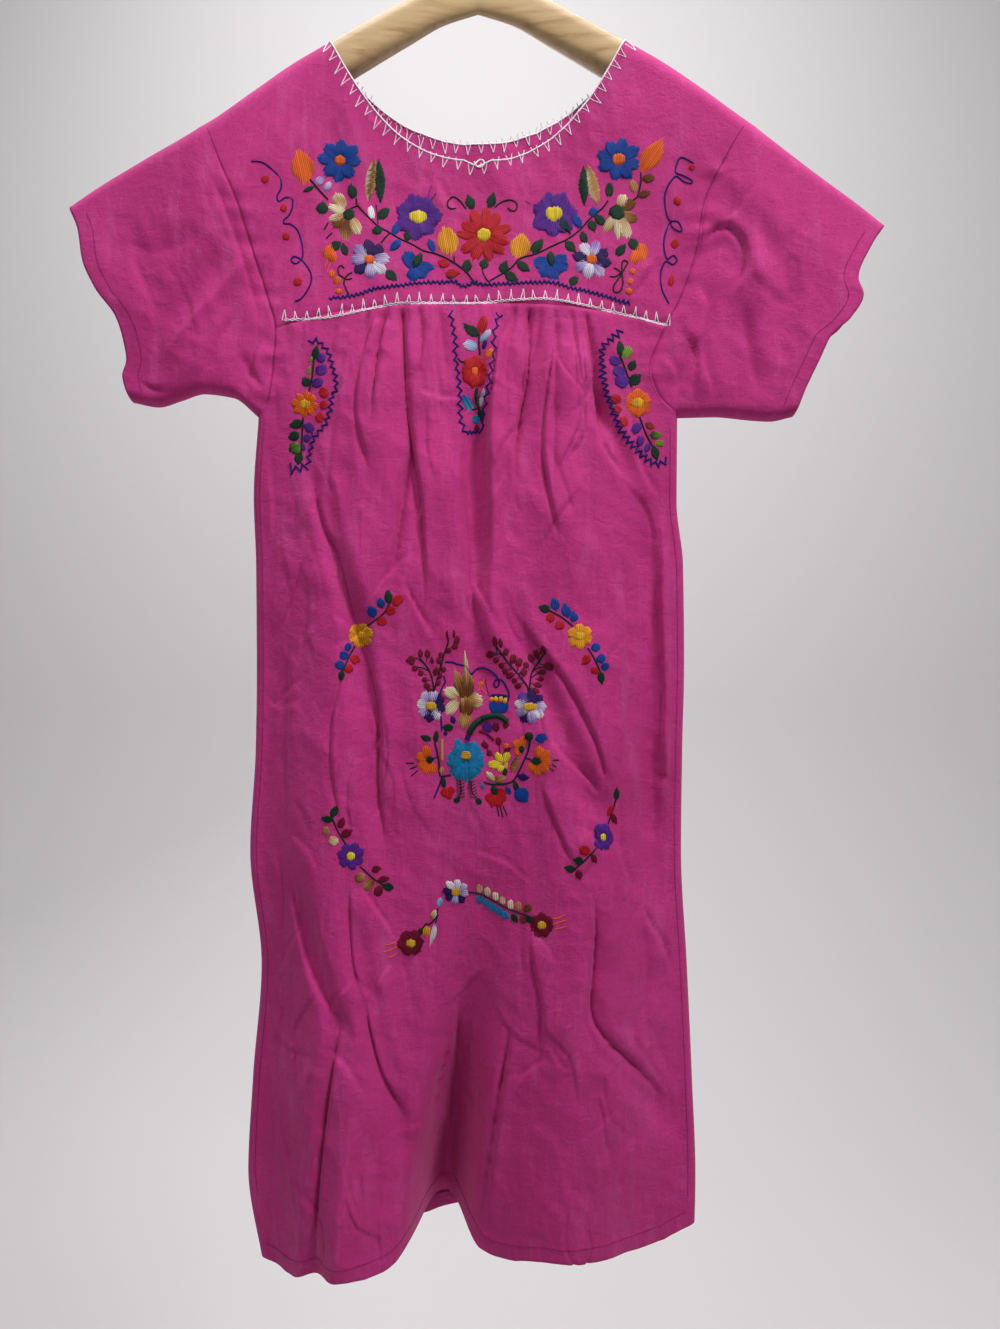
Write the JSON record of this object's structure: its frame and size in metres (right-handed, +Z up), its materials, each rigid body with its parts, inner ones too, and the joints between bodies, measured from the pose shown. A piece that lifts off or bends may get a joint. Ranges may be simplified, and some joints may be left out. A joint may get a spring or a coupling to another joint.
{
  "type": "embroidered mexican dress on a wooden hanger",
  "caption": "Magenta cotton dress with an embroidered yoke, short wide sleeves and a gathered skirt, hung on a contoured wooden hanger.",
  "frame": {"origin": "top of the inside of the hanger's hook, where it rests on a rail", "axes": "+Z up along the hanging dress, -Y out of its front, +X to the right as the front is seen"},
  "size_m": [0.6962, 0.1334, 1.2044],
  "materials": {
    "cotton": "plain-woven magenta cotton with raised thread embroidery",
    "pale_wood": "pale satin wood",
    "plated_wire": "bright plated wire"
  },
  "bodies": {
    "root": {"front_yoke": "cotton", "back_yoke": "cotton", "front_skirt": "cotton", "back_skirt": "cotton", "left_sleeve": "cotton", "right_sleeve": "cotton", "hanger_wood": "pale_wood", "hanger_hook": "plated_wire"}
  },
  "joints": []
}
